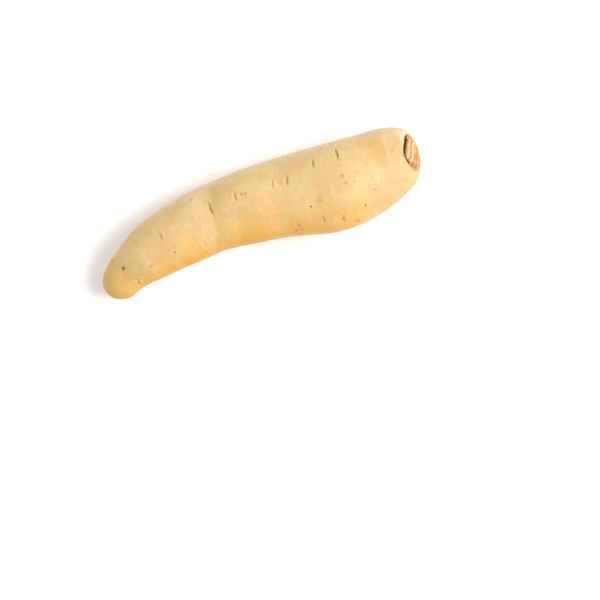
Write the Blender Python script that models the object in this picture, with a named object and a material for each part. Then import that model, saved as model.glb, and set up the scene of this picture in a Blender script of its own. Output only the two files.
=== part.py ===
"""One arracacha root, washed and lying on its side, with the scar where it was broken off at the crown.

Metres, +Z up. The blunt tip is at -X and the crown end at +X. The origin is under the middle of the root's
box, on the surface that the root lies on. The root is one closed solid: rings grown along a heart line from
the tip to the rim of the scar, then inwards over the scar. A turn round it is 0 on top and 90 degrees at +Y.
"""

import math
from collections import namedtuple

import bmesh
import bpy
from mathutils import Vector

# Driving sizes
LENGTH = 0.170
GREATEST_RADIUS = 0.0219
FLATTENING = 0.96

# The heart line from tip to crown. along, sway and lift are shares of LENGTH, and girth of GREATEST_RADIUS.
# sway is how far the line has moved towards +Y, and lift the height of the underside over the surface.
Station = namedtuple("Station", "along sway lift girth")
STATIONS = (
    Station(0.003, -0.0616, 0.0150, 0.378),
    Station(0.040, -0.0392, 0.0125, 0.411),
    Station(0.085, -0.0150, 0.0115, 0.492),
    Station(0.155, 0.0048, 0.0100, 0.634),
    Station(0.250, 0.0208, 0.0080, 0.722),
    Station(0.350, 0.0274, 0.0055, 0.764),
    Station(0.430, 0.0232, 0.0010, 0.811),
    Station(0.495, 0.0168, -0.0030, 0.863),
    Station(0.575, 0.0042, -0.0058, 0.888),
    Station(0.650, -0.0092, -0.0060, 0.942),
    Station(0.745, -0.0280, -0.0045, 1.000),
    Station(0.820, -0.0292, 0.0010, 0.946),
    Station(0.885, -0.0228, 0.0182, 0.840),
    Station(0.935, -0.0232, 0.0486, 0.704),
    Station(0.958, -0.0218, 0.0758, 0.584),
    Station(0.970, -0.0206, 0.0966, 0.468),
)
TIP_ROUNDING = 0.042
SLOPE_STEP = 0.014

# How far the rings near the crown lean, and the share of the length at which that starts
CROWN_SLANT = 0.20
CROWN_SLANT_START = 0.90

# Sides round the root, and how far apart its rings stand
SIDES = 56
RING_STEP = 0.0023
SMALLEST_STEP = 0.0006
TIP_RINGS = 7

# Relief on the skin fades out towards the tip's end, where the root's radius is less than this
FADE_RADIUS = 0.0066

# Broad lumps: waves along the root, waves round it, where they start, and their height
Lump = namedtuple("Lump", "waves_along waves_round start height")
LUMPS = (
    Lump(1.7, 1, 0.6, 0.00030),
    Lump(2.9, 2, 2.2, 0.00034),
    Lump(5.3, 3, 4.1, 0.00016),
    Lump(8.1, 2, 1.1, 0.00012),
)

# Dents, and swellings with a depth below zero. They reach a length along the root and an angle round it.
Dent = namedtuple("Dent", "along turn reach_along reach_turn depth")
DENTS = (
    Dent(0.380, 16, 0.0110, 145, 0.00062),
    Dent(0.885, 34, 0.0140, 62, 0.00095),
    Dent(0.545, -120, 0.0200, 80, 0.00035),
    Dent(0.700, 150, 0.0160, 64, 0.00040),
    Dent(0.255, 110, 0.0150, 96, 0.00035),
    Dent(0.055, -75, 0.0130, 60, -0.00050),
    Dent(0.945, 75, 0.0220, 60, -0.00045),
    Dent(0.610, 100, 0.0300, 64, -0.00035),
)

# Slits that run round the root, where its skin has opened over a side root
Slit = namedtuple("Slit", "along turn length depth")
SLITS = (
    Slit(0.762, 41, 0.0084, 0.00075),
    Slit(0.689, 35, 0.0060, 0.00060),
    Slit(0.610, 20, 0.0063, 0.00055),
    Slit(0.562, 20, 0.0066, 0.00035),
    Slit(0.456, 17, 0.0050, 0.00045),
    Slit(0.376, 16, 0.0083, 0.00075),
    Slit(0.222, 11, 0.0045, 0.00040),
    Slit(0.689, -45, 0.0050, 0.00040),
    Slit(0.734, -49, 0.0059, 0.00045),
    Slit(0.762, 128, 0.0070, 0.00055),
    Slit(0.610, 152, 0.0064, 0.00050),
    Slit(0.456, 118, 0.0062, 0.00055),
    Slit(0.562, -128, 0.0066, 0.00055),
    Slit(0.376, -112, 0.0060, 0.00050),
    Slit(0.222, -140, 0.0050, 0.00040),
    Slit(0.096, -45, 0.0060, 0.00030),
)
SLIT_WIDTH = 0.0016
SLIT_LIP_SHARE = 0.35
SLIT_END_SHARE = 0.75
SLIT_REACH = 3 * SLIT_WIDTH

# The scar at the crown. From the rim in to the middle: radius, depth of the crevice, how far the ring's middle
# has moved away from the crevice, and how far the torn middle stands out. The crevice is deepest above.
SCAR_RADIUS = 0.0094
ScarRing = namedtuple("ScarRing", "radius depth shift rise")
SCAR_RINGS = (
    ScarRing(1.00, -0.0001, 0.0000, 0.0000),
    ScarRing(0.96, 0.0004, 0.0000, 0.0000),
    ScarRing(0.93, 0.0018, 0.0001, 0.0000),
    ScarRing(0.89, 0.0032, 0.0003, 0.0000),
    ScarRing(0.84, 0.0033, 0.0006, 0.0001),
    ScarRing(0.79, 0.0016, 0.0009, 0.0004),
    ScarRing(0.74, 0.0003, 0.0010, 0.0007),
    ScarRing(0.62, 0.0000, 0.0010, 0.0009),
    ScarRing(0.46, 0.0000, 0.0010, 0.0010),
    ScarRing(0.30, 0.0000, 0.0010, 0.0010),
    ScarRing(0.15, 0.0000, 0.0010, 0.0010),
)
CREVICE_TURN = 36
CREVICE_SHALLOWEST = 0.06

# The torn middle has low ridges: the way across them, how far apart and how high they are, and a crest's place
RIDGE_TURN = 49
RIDGE_SPACING = 0.0048
RIDGE_HEIGHT = 0.00030
CREST_PLACE = 0.0003

# The scar is flatter on the side of the crevice: by what share of its radius, and how many degrees that reaches
FLAT_SHARE = 0.18
FLAT_REACH = 70

# Waves that leave the scar's rim uneven, and its torn middle more so: how many, their start and their share
RimWave = namedtuple("RimWave", "count start share")
RIM_WAVES = (
    RimWave(2, 0.8, 0.030),
    RimWave(3, 2.0, 0.024),
    RimWave(5, 1.1, 0.012),
    RimWave(7, 0.3, 0.010),
)
TORN_UNEVENNESS = 1.8


SKIN_COLOUR = (0.80, 0.60, 0.31, 1.0)
SKIN_ROUGHNESS = 0.55


def through(along, channel):
    """The value of one channel of STATIONS at this share of the length, on a smooth curve through them."""
    knots = [station.along for station in STATIONS]
    values = [getattr(station, channel) for station in STATIONS]
    last = len(knots) - 1
    at = min(max(sum(knot <= along for knot in knots) - 1, 0), last - 1)

    def slope(i):
        low, high = max(i - 1, 0), min(i + 1, last)
        return (values[high] - values[low]) / (knots[high] - knots[low])

    step = knots[at + 1] - knots[at]
    t = (along - knots[at]) / step
    rise = 3 * t**2 - 2 * t**3
    leave = step * slope(at) * (t**3 - 2 * t**2 + t)
    arrive = step * slope(at + 1) * (t**3 - t**2)
    return values[at] * (1 - rise) + values[at + 1] * rise + leave + arrive


def radius_at(along):
    """The root's radius, rounded off at the tip."""
    girth = GREATEST_RADIUS * through(along, "girth")
    into_tip = (along - STATIONS[0].along) / TIP_ROUNDING
    if into_tip >= 1:
        return girth
    return girth * math.sqrt(max(0.0, 1 - (1 - into_tip) ** 2))


def heart(along):
    """The heart line's point at this share of the length."""
    full_radius = GREATEST_RADIUS * through(along, "girth")
    height = LENGTH * through(along, "lift") + FLATTENING * full_radius
    return Vector((LENGTH * along, LENGTH * through(along, "sway"), height))


def frame_at(along):
    """The heart line's point, with its directions forwards, upwards and sideways, towards +Y."""
    behind = heart(max(along - SLOPE_STEP, STATIONS[0].along))
    ahead = heart(min(along + SLOPE_STEP, STATIONS[-1].along))
    forward = (ahead - behind).normalized()
    upward = (Vector((0, 0, 1)) - forward * forward.z).normalized()
    return heart(along), forward, upward, upward.cross(forward)


def slant_at(along):
    """How far forward a ring leans at its +Y side, as a share of the distance from the heart line."""
    into_crown = (along - CROWN_SLANT_START) / (STATIONS[-1].along - CROWN_SLANT_START)
    return CROWN_SLANT * max(0.0, into_crown) ** 2


def bell(distance, reach):
    """1 at no distance, falling smoothly to about 0.02 at the reach."""
    return math.exp(-4 * (distance / reach) ** 2)


def angle_between(turn, other):
    """The angle from one turn to another, in degrees, the short way round."""
    return (turn - other + 180) % 360 - 180


def relief(along, turn, radius):
    """How far the skin stands out from the plain round body, in metres. turn is in degrees."""
    height = 0.0
    for lump in LUMPS:
        phase = math.tau * lump.waves_along * along + lump.start
        phase_round = lump.waves_round * math.radians(turn) + lump.start
        height += lump.height * math.sin(phase) * math.cos(phase_round)
    for dent in DENTS:
        ahead = LENGTH * (along - dent.along)
        across = angle_between(turn, dent.turn)
        height -= dent.depth * bell(ahead, dent.reach_along) * bell(across, dent.reach_turn)
    for slit in SLITS:
        ahead = LENGTH * (along - slit.along)
        if abs(ahead) > SLIT_REACH:
            continue
        aside = radius * math.radians(angle_between(turn, slit.turn))
        opening = slit.depth * bell(aside, SLIT_END_SHARE * slit.length)
        height -= opening * bell(ahead, SLIT_WIDTH)
        height += opening * SLIT_LIP_SHARE * bell(ahead - SLIT_WIDTH, SLIT_WIDTH)
    return height


def ring_places():
    """The shares of the length at which the root has a ring, close together at the tip and at the slits."""
    first = STATIONS[0].along
    cap_end = first + TIP_ROUNDING
    rest = STATIONS[-1].along - cap_end
    cap = [math.radians(90 * n / TIP_RINGS) for n in range(1, TIP_RINGS)]
    places = [first + TIP_ROUNDING * (1 - math.cos(angle)) for angle in cap]
    steps = math.ceil(rest * LENGTH / RING_STEP)
    places += [cap_end + rest * n / steps for n in range(steps + 1)]
    half = 0.5 * SLIT_WIDTH / LENGTH
    room = half + SMALLEST_STEP / LENGTH
    for along in sorted({slit.along for slit in SLITS}):
        places = [place for place in places if abs(place - along) > room]
        places += [along - half, along, along + half]
    return sorted(places)


def body_ring(along):
    """The points of one ring of the body."""
    centre, forward, upward, sideways = frame_at(along)
    sideways = sideways + slant_at(along) * forward
    plain = radius_at(along)
    fade = min(1.0, plain / FADE_RADIUS)
    points = []
    for side in range(SIDES):
        turn = math.tau * side / SIDES
        radius = plain + fade * relief(along, math.degrees(turn), plain)
        points.append(centre + radius * (sideways * math.sin(turn) + FLATTENING * upward * math.cos(turn)))
    return points


def scar_ring(ring):
    """The points of one ring of the scar, in the plane that faces out of the crown."""
    centre, forward, upward, sideways = frame_at(STATIONS[-1].along)
    sideways = sideways + CROWN_SLANT * forward
    crevice = math.radians(CREVICE_TURN)
    across_ridges = math.radians(RIDGE_TURN)
    unevenness = TORN_UNEVENNESS if ring.shift else 1.0
    points = []
    for side in range(SIDES):
        turn = math.tau * side / SIDES
        waves = sum(wave.share * math.sin(wave.count * turn + wave.start) for wave in RIM_WAVES)
        flat = FLAT_SHARE * bell(angle_between(math.degrees(turn), RIDGE_TURN), FLAT_REACH)
        radius = SCAR_RADIUS * ring.radius * (1 + unevenness * waves) * (1 - flat)
        height = radius * math.cos(turn) - ring.shift * math.cos(crevice)
        across = radius * math.sin(turn) - ring.shift * math.sin(crevice)
        facing = (0.5 + 0.5 * math.cos(turn - crevice)) ** 2
        share = CREVICE_SHALLOWEST + (1 - CREVICE_SHALLOWEST) * facing
        place = across * math.sin(across_ridges) + height * math.cos(across_ridges) - CREST_PLACE
        ridge = RIDGE_HEIGHT * math.cos(math.tau * place / RIDGE_SPACING)
        torn = 1 - ring.radius**4 if ring.shift else 0.0
        depth = share * ring.depth - ring.rise - torn * ridge
        points.append(centre + across * sideways + height * upward - depth * forward)
    return points


def grow(mesh, rings, end):
    """Extrudes the edge of the tip's fan of faces from ring to ring, and closes it at the end point."""
    side_of = mesh.verts.layers.int.new("side")
    made = bmesh.ops.create_circle(mesh, cap_ends=True, cap_tris=True, radius=1.0, segments=SIDES)["verts"]
    centre = max(made, key=lambda vertex: len(vertex.link_edges))
    rim = [vertex for vertex in made if vertex is not centre]
    for vertex in rim:
        angle = math.atan2(vertex.co.x, vertex.co.y)
        vertex[side_of] = round(SIDES * angle / math.tau) % SIDES
        vertex.co = rings[0][vertex[side_of]]
    centre.co = heart(STATIONS[0].along)
    edges = [edge for edge in mesh.edges if centre not in edge.verts]
    for ring in rings[1:] + [[end] * SIDES]:
        grown = bmesh.ops.extrude_edge_only(mesh, edges=edges)["geom"]
        edges = [item for item in grown if isinstance(item, bmesh.types.BMEdge)]
        vertices = [item for item in grown if isinstance(item, bmesh.types.BMVert)]
        for vertex in vertices:
            vertex.co = ring[vertex[side_of]]
    bmesh.ops.pointmerge(mesh, verts=vertices, merge_co=end)


def flatten_underside(mesh):
    """Cuts off what reaches below the surface, which leaves the small flat spot that the root rests on."""
    whole = mesh.verts[:] + mesh.edges[:] + mesh.faces[:]
    surface = {"plane_co": (0, 0, 0), "plane_no": (0, 0, 1)}
    cut = bmesh.ops.bisect_plane(mesh, geom=whole, clear_inner=True, **surface)["geom_cut"]
    edges = [item for item in cut if isinstance(item, bmesh.types.BMEdge)]
    bmesh.ops.edgenet_fill(mesh, edges=edges)
    bmesh.ops.recalc_face_normals(mesh, faces=mesh.faces)
    if mesh.calc_volume(signed=True) < 0:
        bmesh.ops.reverse_faces(mesh, faces=mesh.faces)


def centre_over_origin(mesh):
    """Moves the root so that the origin is under the middle of its box."""
    for axis in (0, 1):
        places = [vertex.co[axis] for vertex in mesh.verts]
        middle = 0.5 * (min(places) + max(places))
        for vertex in mesh.verts:
            vertex.co[axis] -= middle


def skin_material():
    """The pale yellow, slightly waxy skin."""
    material = bpy.data.materials.new("skin")
    material.use_nodes = True
    shader = material.node_tree.nodes["Principled BSDF"]
    shader.inputs["Base Color"].default_value = SKIN_COLOUR
    shader.inputs["Roughness"].default_value = SKIN_ROUGHNESS
    shader.inputs["Metallic"].default_value = 0.0
    return material


def build_root():
    """The whole root, skin and scar, as one closed solid."""
    rings = [body_ring(along) for along in ring_places()]
    rings += [scar_ring(ring) for ring in SCAR_RINGS]
    mesh = bmesh.new()
    grow(mesh, rings, sum(rings[-1], Vector()) / SIDES)
    flatten_underside(mesh)
    centre_over_origin(mesh)
    data = bpy.data.meshes.new("root")
    mesh.to_mesh(data)
    mesh.free()
    data.shade_smooth()
    root = bpy.data.objects.new("root", data)
    root.data.materials.append(skin_material())
    bpy.context.scene.collection.objects.link(root)
    return root


def clear_scene():
    """Removes whatever the open file holds."""
    for thing in list(bpy.data.objects):
        bpy.data.objects.remove(thing)


clear_scene()
build_root()
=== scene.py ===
"""The looks of one arracacha root: pale waxy skin with slits and rootlet dots, and a torn scar at its crown.

Metres, +Z up. The blunt tip is at -X and the crown at +X. A turn round the root is 0 degrees on top and 90 at
+Y. The root's form follows the same stations, lumps, dents and slits as its solid, with finer relief on it.
"""

import logging
import math
import random
from dataclasses import dataclass, field
from enum import Enum
from typing import Any, Callable, Optional, Union

import bmesh
import bpy
import numpy as np
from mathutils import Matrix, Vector, noise


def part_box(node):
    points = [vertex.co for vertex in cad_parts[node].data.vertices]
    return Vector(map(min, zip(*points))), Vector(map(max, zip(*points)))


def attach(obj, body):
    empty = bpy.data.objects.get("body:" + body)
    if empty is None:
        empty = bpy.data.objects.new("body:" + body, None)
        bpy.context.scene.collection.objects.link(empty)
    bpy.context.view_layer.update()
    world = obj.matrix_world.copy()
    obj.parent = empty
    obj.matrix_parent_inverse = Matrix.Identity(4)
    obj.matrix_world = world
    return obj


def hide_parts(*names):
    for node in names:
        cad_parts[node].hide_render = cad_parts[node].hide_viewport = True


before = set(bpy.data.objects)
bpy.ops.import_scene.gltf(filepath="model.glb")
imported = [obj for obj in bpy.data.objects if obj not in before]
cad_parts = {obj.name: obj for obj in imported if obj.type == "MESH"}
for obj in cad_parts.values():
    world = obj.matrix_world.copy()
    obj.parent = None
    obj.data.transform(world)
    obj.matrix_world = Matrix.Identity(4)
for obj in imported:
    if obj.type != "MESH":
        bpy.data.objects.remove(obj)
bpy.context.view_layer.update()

LOG = logging.getLogger("arracacha")
MM = 0.001
TINY = 1e-9
BELL_STEEPNESS = 4.0

Array = np.ndarray
Colour = tuple[float, float, float, float]
Pair = tuple[float, float]
Triple = tuple[float, float, float]
Stop = tuple[float, Colour]


def paint(red: int, green: int, blue: int) -> Colour:
    """Turns a colour as a screen shows it into the linear colour that a shader takes.

    Args:
        red: The red part, 0 to 255.
        green: The green part, 0 to 255.
        blue: The blue part, 0 to 255.

    Returns:
        The linear colour, with an alpha of 1.
    """
    toe, slope, lift, gamma = 0.04045, 12.92, 0.055, 2.4
    parts = [value / 255 for value in (red, green, blue)]
    linear = [((part + lift) / (1 + lift)) ** gamma if part > toe else part / slope for part in parts]
    return (*linear, 1.0)


def bell(distance: Array, reach: float) -> Array:
    """1 at no distance, falling smoothly to about 0.02 at the reach."""
    return np.exp(-BELL_STEEPNESS * (distance / reach) ** 2)


def angle_between(turn: Array, other: float) -> Array:
    """The angle from one turn to another, in degrees, the short way round."""
    return (turn - other + 180) % 360 - 180


def through(knots: list[float], values: list[float], place: Array) -> Array:
    """Reads the smooth curve that runs through some values.

    Args:
        knots: The places of the values, rising.
        values: The value at each knot.
        place: Where the curve is read.

    Returns:
        The curve's value at each place.
    """
    x, y = np.array(knots, float), np.array(values, float)
    last = len(knots) - 1
    low, high = np.maximum(np.arange(last + 1) - 1, 0), np.minimum(np.arange(last + 1) + 1, last)
    slopes = (y[high] - y[low]) / (x[high] - x[low])
    at = np.clip(np.searchsorted(x, place, side="right") - 1, 0, last - 1)
    step = x[at + 1] - x[at]
    t = (place - x[at]) / step
    rise = 3 * t**2 - 2 * t**3
    leave, arrive = slopes[at] * (t**3 - 2 * t**2 + t), slopes[at + 1] * (t**3 - t**2)
    return y[at] * (1 - rise) + y[at + 1] * rise + step * (leave + arrive)


@dataclass(frozen=True)
class Fade:
    """A smooth step from nothing to a share: the value where it is gone, and the value where it is full."""

    gone: float
    full: float
    share: float = 1.0

    def of(self, value: Array) -> Array:
        """How much there is at each value."""
        t = np.clip((value - self.gone) / (self.full - self.gone), 0, 1)
        return self.share * (t * t * (3 - 2 * t))


@dataclass(frozen=True)
class Cloud:
    """A smooth random field: how far it swings either way, the size of its lumps, and where it is read."""

    height: float
    spans: Triple
    seed: float

    def read(self, points: Array) -> Array:
        """The field's value at many points, one row each."""
        places = points / np.array(self.spans) + self.seed
        return self.height * np.array([noise.noise(place) for place in places.tolist()])


@dataclass(frozen=True)
class Places:
    """Where many points of the root are.

    along is a share of the root's length, turn is in degrees, and radius is that of the root there. knot
    counts the scar's rings from its rim inwards, and is below -1 on the skin.
    """

    length: float
    along: Array
    turn: Array
    radius: Array
    knot: Array

    def ahead(self) -> Array:
        """The distances from the start of the length."""
        return self.length * self.along

    def aside(self, turn: float) -> Array:
        """The distances round the root from a turn."""
        return self.radius * np.radians(angle_between(self.turn, turn))

    def grain(self) -> Array:
        """The points as if the root were straight, with the length as the third part."""
        turn = np.radians(self.turn)
        return np.stack((self.radius * np.cos(turn), self.radius * np.sin(turn), self.ahead()), -1)


@dataclass(frozen=True)
class Station:
    """One place on the heart line. along, sway and lift are shares of the length, girth of the radius."""

    along: float
    sway: float
    lift: float
    girth: float


@dataclass(frozen=True)
class Lump:
    """A broad wave of the skin: how often it goes along and round the root, its start and its height."""

    waves_along: float
    waves_round: int
    start: float
    height: float


@dataclass(frozen=True)
class Dent:
    """A soft hollow, or a swelling where its depth is below zero."""

    along: float
    turn: float
    reach_along: float
    reach_turn: float
    depth: float


@dataclass(frozen=True)
class Slit:
    """A slit round the root. stain is how dark it is, and lean how far its ends run out of square."""

    along: float
    turn: float
    length: float
    depth: float
    stain: float = 0.7
    lean: float = 0.0
    waver: float = 0.00016
    long_wave: float = 0.0010
    short_wave: float = 0.00043
    short_share: float = 0.6
    wave_start: float = 40.0

    def beside(self, at: Places) -> tuple[Array, Array]:
        """Measures how far each point is from the slit, whose middle line leans and wavers.

        Args:
            at: The points.

        Returns:
            The distances ahead of the middle line, and the distances round the root from the slit's middle.
        """
        aside = at.aside(self.turn)
        start = self.wave_start * self.along + self.turn
        wave = np.sin(aside / self.long_wave + start)
        wave += self.short_share * np.sin(aside / self.short_wave + 2 * start)
        return at.length * (at.along - self.along) - self.lean * aside - self.waver * wave, aside


class Hue(Enum):
    """What a dot on the skin is coloured like."""

    DARK = 0.0
    TAN = 0.25
    RUST = 0.50
    ORANGE = 0.75
    LIGHT = 1.0


@dataclass(frozen=True)
class Dot:
    """A small round mark, where a fine rootlet came off. Its place is in mm from the tip."""

    along_mm: float
    turn: float
    radius_mm: float
    stain: float
    hue: Hue = Hue.DARK
    halo: float = 0.0


@dataclass(frozen=True)
class Trail:
    """A soft streak on the skin, through points (mm from the tip, turn). reach_mm is how far it spreads."""

    points: tuple[Pair, ...]
    reach_mm: float
    strength: float = 1.0

    def share(self, at: Places) -> Array:
        """How much of the streak is at each point.

        Args:
            at: The points.

        Returns:
            The shares, from 0 to the streak's strength.
        """
        away = np.full_like(at.along, np.inf)
        for (start, start_turn), (end, end_turn) in zip(self.points, self.points[1:]):
            rise = at.radius / MM * np.radians(end_turn - start_turn)
            span = end - start
            run, aside = at.ahead() / MM - start, at.aside(start_turn) / MM
            t = np.clip((run * span + aside * rise) / np.maximum(span**2 + rise**2, TINY), 0, 1)
            away = np.minimum(away, np.hypot(run - t * span, aside - t * rise))
        return self.strength * bell(away, self.reach_mm)


def spread(trails: tuple[Trail, ...], at: Places) -> Array:
    """How much of several streaks is at each point, all together."""
    return sum(trail.share(at) for trail in trails)


@dataclass(frozen=True)
class ScarRing:
    """A ring of the scar: its radius, the crevice's depth, its shift away from the crevice, and its rise."""

    radius: float
    depth: float
    shift: float
    rise: float


@dataclass(frozen=True)
class RimWave:
    """A wave that leaves the scar's rim uneven."""

    count: int
    start: float
    share: float


STATIONS = (
    Station(0.003, -0.0616, 0.0150, 0.378),
    Station(0.040, -0.0392, 0.0125, 0.411),
    Station(0.085, -0.0150, 0.0115, 0.492),
    Station(0.155, 0.0048, 0.0100, 0.634),
    Station(0.250, 0.0208, 0.0080, 0.722),
    Station(0.350, 0.0274, 0.0055, 0.764),
    Station(0.430, 0.0232, 0.0010, 0.811),
    Station(0.495, 0.0168, -0.0030, 0.863),
    Station(0.575, 0.0042, -0.0058, 0.888),
    Station(0.650, -0.0092, -0.0060, 0.942),
    Station(0.745, -0.0280, -0.0045, 1.000),
    Station(0.820, -0.0292, 0.0010, 0.946),
    Station(0.885, -0.0228, 0.0182, 0.840),
    Station(0.935, -0.0232, 0.0486, 0.704),
    Station(0.958, -0.0218, 0.0758, 0.584),
    Station(0.970, -0.0206, 0.0966, 0.468),
)
LUMPS = (
    Lump(1.7, 1, 0.6, 0.00030),
    Lump(2.9, 2, 2.2, 0.00034),
    Lump(5.3, 3, 4.1, 0.00016),
    Lump(8.1, 2, 1.1, 0.00012),
)
DENTS = (
    Dent(0.380, 16, 0.0110, 145, 0.00062),
    Dent(0.885, 34, 0.0140, 62, 0.00095),
    Dent(0.545, -120, 0.0200, 80, 0.00035),
    Dent(0.700, 150, 0.0160, 64, 0.00040),
    Dent(0.255, 110, 0.0150, 96, 0.00035),
    Dent(0.055, -75, 0.0130, 60, -0.00050),
    Dent(0.945, 75, 0.0220, 60, -0.00045),
    Dent(0.610, 100, 0.0300, 64, -0.00035),
)
SLITS = (
    Slit(0.762, 41, 0.0084, 0.00075, 1.00, 0.11),
    Slit(0.689, 35, 0.0060, 0.00060, 0.80, -0.12),
    Slit(0.610, 20, 0.0063, 0.00055, 0.70, 0.02),
    Slit(0.562, 20, 0.0066, 0.00035, 0.40, 0.17),
    Slit(0.456, 17, 0.0050, 0.00045, 0.65, 0.10),
    Slit(0.376, 16, 0.0083, 0.00075, 0.85, -0.04),
    Slit(0.222, 11, 0.0045, 0.00040, 0.60, 0.02),
    Slit(0.689, -45, 0.0050, 0.00040, 0.55, -0.08),
    Slit(0.734, -49, 0.0059, 0.00045, 0.50, 0.00),
    Slit(0.762, 128, 0.0070, 0.00055, 0.85, 0.05),
    Slit(0.610, 152, 0.0064, 0.00050, 0.70, -0.06),
    Slit(0.456, 118, 0.0062, 0.00055, 0.80, 0.03),
    Slit(0.562, -128, 0.0066, 0.00055, 0.85, -0.05),
    Slit(0.376, -112, 0.0060, 0.00050, 0.60, 0.07),
    Slit(0.222, -140, 0.0050, 0.00040, 0.75, 0.02),
    Slit(0.096, -45, 0.0060, 0.00030, 0.35, 0.45),
)
SMALL_SLITS = (
    Slit(0.338, 48, 0.0040, 0.00014, 0.60, 0.45),
    Slit(0.484, 16, 0.0032, 0.00015, 0.50, 0.15),
    Slit(0.371, 34, 0.0016, 0.00012, 0.60, 1.20),
    Slit(0.091, -50, 0.0044, 0.00020, 0.50, 0.30),
    Slit(0.664, -82, 0.0020, 0.00015, 0.70, 2.00),
)
DOTS = (
    Dot(80.6, 18, 0.60, 0.80),
    Dot(122.4, 61, 0.75, 0.95),
    Dot(112.5, -23, 0.80, 1.00, Hue.DARK, 0.5),
    Dot(39.7, -27, 0.75, 0.85),
    Dot(15.9, 9, 1.20, 1.00),
    Dot(26.8, -26, 1.15, 0.80, Hue.ORANGE),
    Dot(26.8, -20, 0.60, 0.60, Hue.LIGHT),
    Dot(15.6, 54, 0.60, 0.60, Hue.LIGHT),
    Dot(86.4, -12, 0.70, 0.45, Hue.LIGHT),
    Dot(62.9, -31, 0.60, 0.40, Hue.LIGHT),
    Dot(128.4, 7, 1.25, 0.80, Hue.TAN),
    Dot(128.8, -2, 0.95, 0.85, Hue.TAN),
    Dot(132.0, -5, 0.75, 0.60, Hue.TAN),
    Dot(135.1, 5, 1.10, 0.45, Hue.ORANGE),
    Dot(137.0, 21, 1.20, 0.25, Hue.ORANGE),
    Dot(117.4, -17, 1.60, 0.55, Hue.TAN),
    Dot(104.2, -49, 0.90, 0.90, Hue.RUST),
    Dot(102.4, -60, 1.30, 0.85, Hue.RUST),
    Dot(105.2, -59, 0.95, 0.80, Hue.RUST),
    Dot(103.4, -76, 1.40, 0.70, Hue.RUST),
    Dot(133.1, -41, 0.80, 0.85),
    Dot(128.9, -62, 1.35, 0.95, Hue.ORANGE),
    Dot(129.2, -67, 0.60, 0.80),
    Dot(129.0, -53, 0.80, 0.55, Hue.ORANGE),
    Dot(140.7, -27, 0.95, 0.85, Hue.TAN),
    Dot(139.6, -25, 0.60, 0.50, Hue.TAN),
    Dot(147.6, -63, 0.85, 0.55, Hue.TAN),
    Dot(144.9, -23, 0.75, 0.40, Hue.TAN),
    Dot(161.4, 21, 0.85, 0.55, Hue.TAN),
    Dot(141.9, -8, 0.90, 0.40, Hue.ORANGE),
    Dot(55.1, -38, 0.55, 0.60),
    Dot(55.1, -45, 0.50, 0.55),
    Dot(76.6, -14, 0.55, 0.45, Hue.TAN),
    Dot(13.6, 39, 0.75, 0.60, Hue.TAN),
    Dot(13.6, 54, 0.60, 0.60, Hue.TAN),
    Dot(16.5, 62, 0.60, 0.50, Hue.TAN),
)
# Green-tan streaks: the first, along the crown's saddle, and the third, along the waist hollow, are painted
# shade; the others are streaks of green-tan tone.
OLIVE_TRAILS = (
    Trail(((149.0, 44), (153.8, 21), (152.2, 3)), 8.5, 1.20),
    Trail(((140.5, 60), (146.0, 52)), 7.0, 0.45),
    Trail(((68.9, 50), (66.7, -6), (66.2, -33), (62.1, -65)), 7.5, 0.65),
    Trail(((117.4, -17), (118.2, -12)), 3.2, 0.75),
    Trail(((103.0, 44), (106.5, 36)), 4.2, 0.30),
    Trail(((36.0, 52), (33.5, 34)), 6.5, 0.45),
    Trail(((90.5, 36), (88.5, 22)), 4.5, 0.30),
    Trail(((80.0, -4), (84.5, -20)), 2.6, 0.45),
    Trail(((84.0, 120), (90.0, 150)), 6.0, 0.50),
    Trail(((132.0, 150), (128.0, 176)), 6.0, 0.50),
    Trail(((48.0, -130), (52.0, -170)), 6.0, 0.50),
)
PEACH_TRAILS = (
    Trail(((158.0, -49), (160.0, -36)), 7.5, 0.90),
    Trail(((137.0, 24), (136.6, 17)), 3.4, 0.65),
    Trail(((131.0, 3), (136.0, 6)), 4.5, 0.55),
    Trail(((141.9, -6), (142.4, -11)), 3.2, 0.45),
    Trail(((35.0, 16), (34.0, 3)), 5.0, 0.40),
    Trail(((108.5, 6), (110.0, -8)), 6.0, 0.30),
    Trail(((124.0, 32), (127.0, 22)), 4.5, 0.30),
    Trail(((20.0, 64), (38.0, 72)), 7.0, 0.50),
    Trail(((72.0, 140), (66.0, 166)), 7.0, 0.60),
    Trail(((140.0, -120), (136.0, -150)), 8.0, 0.60),
)
FOLDS = (
    Trail(((123.0, 2), (123.1, -14)), 1.1, 0.75),
    Trail(((15.0, -29), (16.4, -41), (17.2, -53)), 1.0, 0.50),
)
# Pale streaks: on the folds (FOLDS) they are a painted highlight of the lit ridges; the others are pale
# streaks on the skin.
LIGHT_TRAILS = FOLDS + (
    Trail(((20.5, 70), (20.5, 0)), 7.0, 0.45),
    Trail(((59.8, 44), (58.4, 0), (56.6, -40)), 7.0, 0.55),
    Trail(((122.0, -44), (121.6, -60)), 2.2, 0.45),
    Trail(((27.6, 20), (26.8, 0), (27.4, -18)), 3.0, 0.35),
    Trail(((100.0, -10), (99.6, -32)), 2.6, 0.35),
    Trail(((146.0, -8), (144.0, -30)), 8.0, 0.35),
)
CREASES = (
    Trail(((15.6, -30), (17.1, -41), (17.9, -53)), 0.9, 1.6),
    Trail(((15.3, -43), (16.3, -60)), 0.8, 1.2),
    Trail(((66.9, 50), (63.7, -6), (62.8, -33), (58.1, -65)), 2.6, 0.8),
    Trail(((64.4, -28), (64.1, -36)), 0.9, 0.6),
)
SMALL_DENTS = (
    Dent(0.945, -88, 0.0100, 50, -0.00030),
    Dent(0.902, -92, 0.0105, 60, -0.00075),
    Dent(0.235, -60, 0.0060, 40, 0.00020),
    Dent(0.150, -35, 0.0050, 50, -0.00022),
    Dent(0.440, 60, 0.0090, 60, 0.00020),
)
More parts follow.
